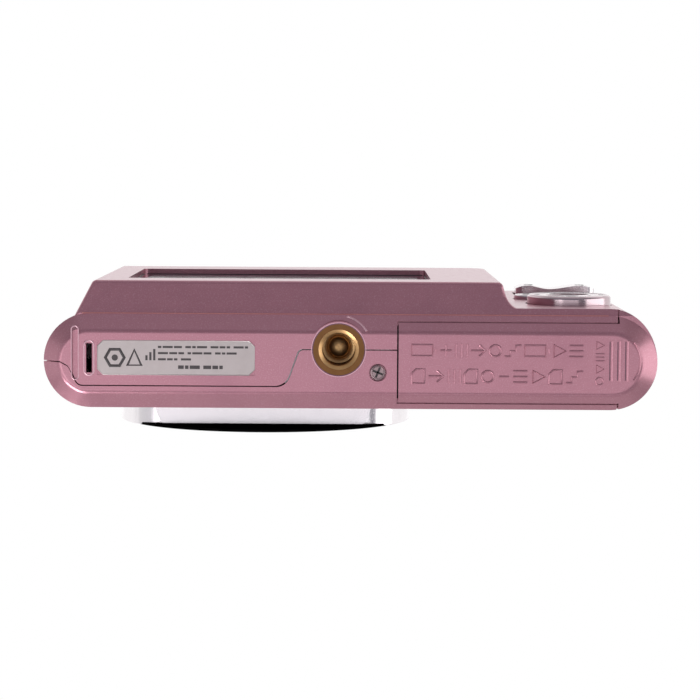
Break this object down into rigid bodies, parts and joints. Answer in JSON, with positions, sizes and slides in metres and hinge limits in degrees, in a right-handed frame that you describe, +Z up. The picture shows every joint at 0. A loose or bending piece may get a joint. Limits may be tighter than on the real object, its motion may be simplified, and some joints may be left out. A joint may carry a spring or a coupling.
{
  "type": "compact digital camera",
  "caption": "Slim pocket digital camera with rounded ends, extending round lens, rear display, buttons, tripod socket and hinged battery door.",
  "frame": {"origin": "centre of the bounding box, on the flat underside", "axes": "+Z up, +Y towards the display side, the lens looks along -Y, +X towards the strap slot and away from the battery door"},
  "size_m": [0.098, 0.0244, 0.0592],
  "materials": {
    "case_paint": "metallic pink lacquer",
    "brass": "turned brass",
    "steel": "plain sheet steel",
    "screw_steel": "plated screw steel",
    "label_foil": "satin silver foil",
    "drum_silver": "satin silver plating",
    "black_gloss": "piano black",
    "trim_chrome": "polished",
    "black_plastic": "fine grain",
    "tube_metal": "turned and anodised",
    "black_satin": "satin black",
    "lens_glass": "coated glass",
    "sensor_ceramic": "ceramic",
    "circuit_board": "solder mask",
    "display_glass": "dark glossy",
    "clear_window": "clear",
    "reflector_foil": "bright",
    "lamp_lens": "amber lens",
    "battery_wrap": "satin wrap",
    "card_plastic": "moulded",
    "button_chrome": "satin chrome",
    "ring_metal": "rose chrome",
    "switch_dome": "metal dome",
    "cover_rubber": "soft rubber in the case colour"
  },
  "bodies": {
    "case": {"front_shell": "case_paint", "rear_shell": "case_paint", "tripod_socket": "brass", "tripod_bracket": "steel", "case_screws": "screw_steel", "rating_label": "label_foil", "lens_drum": "drum_silver", "lens_front_plate": "black_gloss", "lens_trim_ring": "trim_chrome", "lens_housing": "black_plastic", "rear_lens_element": "lens_glass", "ir_filter": "lens_glass", "image_sensor": "sensor_ceramic", "sensor_board": "circuit_board", "chassis_frame": "steel", "main_board": "circuit_board", "display_window": "display_glass", "display_panel": "black_plastic", "display_bracket": "steel", "flash_window": "clear_window", "flash_reflector": "reflector_foil", "flash_tube": "lens_glass", "flash_capacitor": "black_plastic", "focus_lamp": "lamp_lens", "microphone": "black_plastic", "speaker": "black_plastic", "zoom_motor": "steel", "usb_socket": "steel", "battery": "battery_wrap", "battery_box": "black_plastic", "battery_contacts": "brass", "memory_card": "card_plastic", "card_socket": "steel", "door_guide": "black_plastic", "shutter_spring": "steel", "top_board": "circuit_board", "button_board": "circuit_board", "key_switches": "switch_dome"},
    "lens_outer": {"lens_outer_tube": "tube_metal"},
    "lens_inner": {"lens_inner_tube": "black_satin", "front_lens_element": "lens_glass"},
    "door_slider": {"door_carrier": "steel", "door_hinge_pin": "steel"},
    "door": {"battery_door": "case_paint"},
    "shutter": {"shutter_button": "button_chrome"},
    "power": {"power_button": "button_chrome"},
    "zoom": {"zoom_rocker": "button_chrome"},
    "nav_gimbal": {"nav_pivot": "black_plastic"},
    "nav": {"nav_ring": "ring_metal"},
    "ok": {"ok_button": "button_chrome"},
    "menu": {"menu_button": "button_chrome"},
    "playback": {"playback_button": "button_chrome"},
    "cover": {"port_cover": "cover_rubber"}
  },
  "joints": [
    {"name": "lens_extend", "type": "slide", "parent": "case", "child": "lens_outer", "axis": [0, -1, 0], "range_m": [0, 0.0085]},
    {"name": "lens_extend_inner", "type": "slide", "parent": "lens_outer", "child": "lens_inner", "axis": [0, -1, 0], "range_m": [0, 0.0068]},
    {"name": "door_slide", "type": "slide", "parent": "case", "child": "door_slider", "axis": [-1, 0, 0], "range_m": [0, 0.003]},
    {"name": "door_hinge", "type": "hinge", "parent": "door_slider", "child": "door", "pos_m": [-0.0477, -0.0005, 0.0029], "axis": [0, 1, 0], "range_deg": [0, 85]},
    {"name": "shutter_press", "type": "slide", "parent": "case", "child": "shutter", "axis": [0, 0, -1], "range_m": [0, 0.0008], "stiffness_N_per_m": 400, "deforming": ["shutter_spring"]},
    {"name": "power_press", "type": "slide", "parent": "case", "child": "power", "axis": [0, 0, -1], "range_m": [0, 0.0003], "stiffness_N_per_m": 400},
    {"name": "zoom_rock", "type": "hinge", "parent": "case", "child": "zoom", "pos_m": [-0.0359, 0.0069, 0.046], "axis": [0, 0, 1], "range_deg": [-3.5, 3.5], "stiffness_Nm_per_rad": 0.05},
    {"name": "nav_tilt_up_down", "type": "hinge", "parent": "case", "child": "nav_gimbal", "pos_m": [-0.036, 0.0064, 0.017], "axis": [1, 0, 0], "range_deg": [-3, 3], "stiffness_Nm_per_rad": 0.05},
    {"name": "nav_tilt_left_right", "type": "hinge", "parent": "nav_gimbal", "child": "nav", "pos_m": [-0.036, 0.0064, 0.017], "axis": [0, 0, 1], "range_deg": [-3, 3], "stiffness_Nm_per_rad": 0.05},
    {"name": "ok_press", "type": "slide", "parent": "case", "child": "ok", "axis": [0, -1, 0], "range_m": [0, 0.0004], "stiffness_N_per_m": 400},
    {"name": "menu_press", "type": "slide", "parent": "case", "child": "menu", "axis": [0, -1, 0], "range_m": [0, 0.0004], "stiffness_N_per_m": 400},
    {"name": "playback_press", "type": "slide", "parent": "case", "child": "playback", "axis": [0, -1, 0], "range_m": [0, 0.0004], "stiffness_N_per_m": 400},
    {"name": "cover_hinge", "type": "hinge", "parent": "case", "child": "cover", "pos_m": [0.04847, 0.00228, 0.0275], "axis": [0, 0, 1], "range_deg": [0, 100]}
  ],
  "couplings": [
    {"joint": "lens_extend_inner", "follows": "lens_extend", "ratio": 0.8}
  ]
}
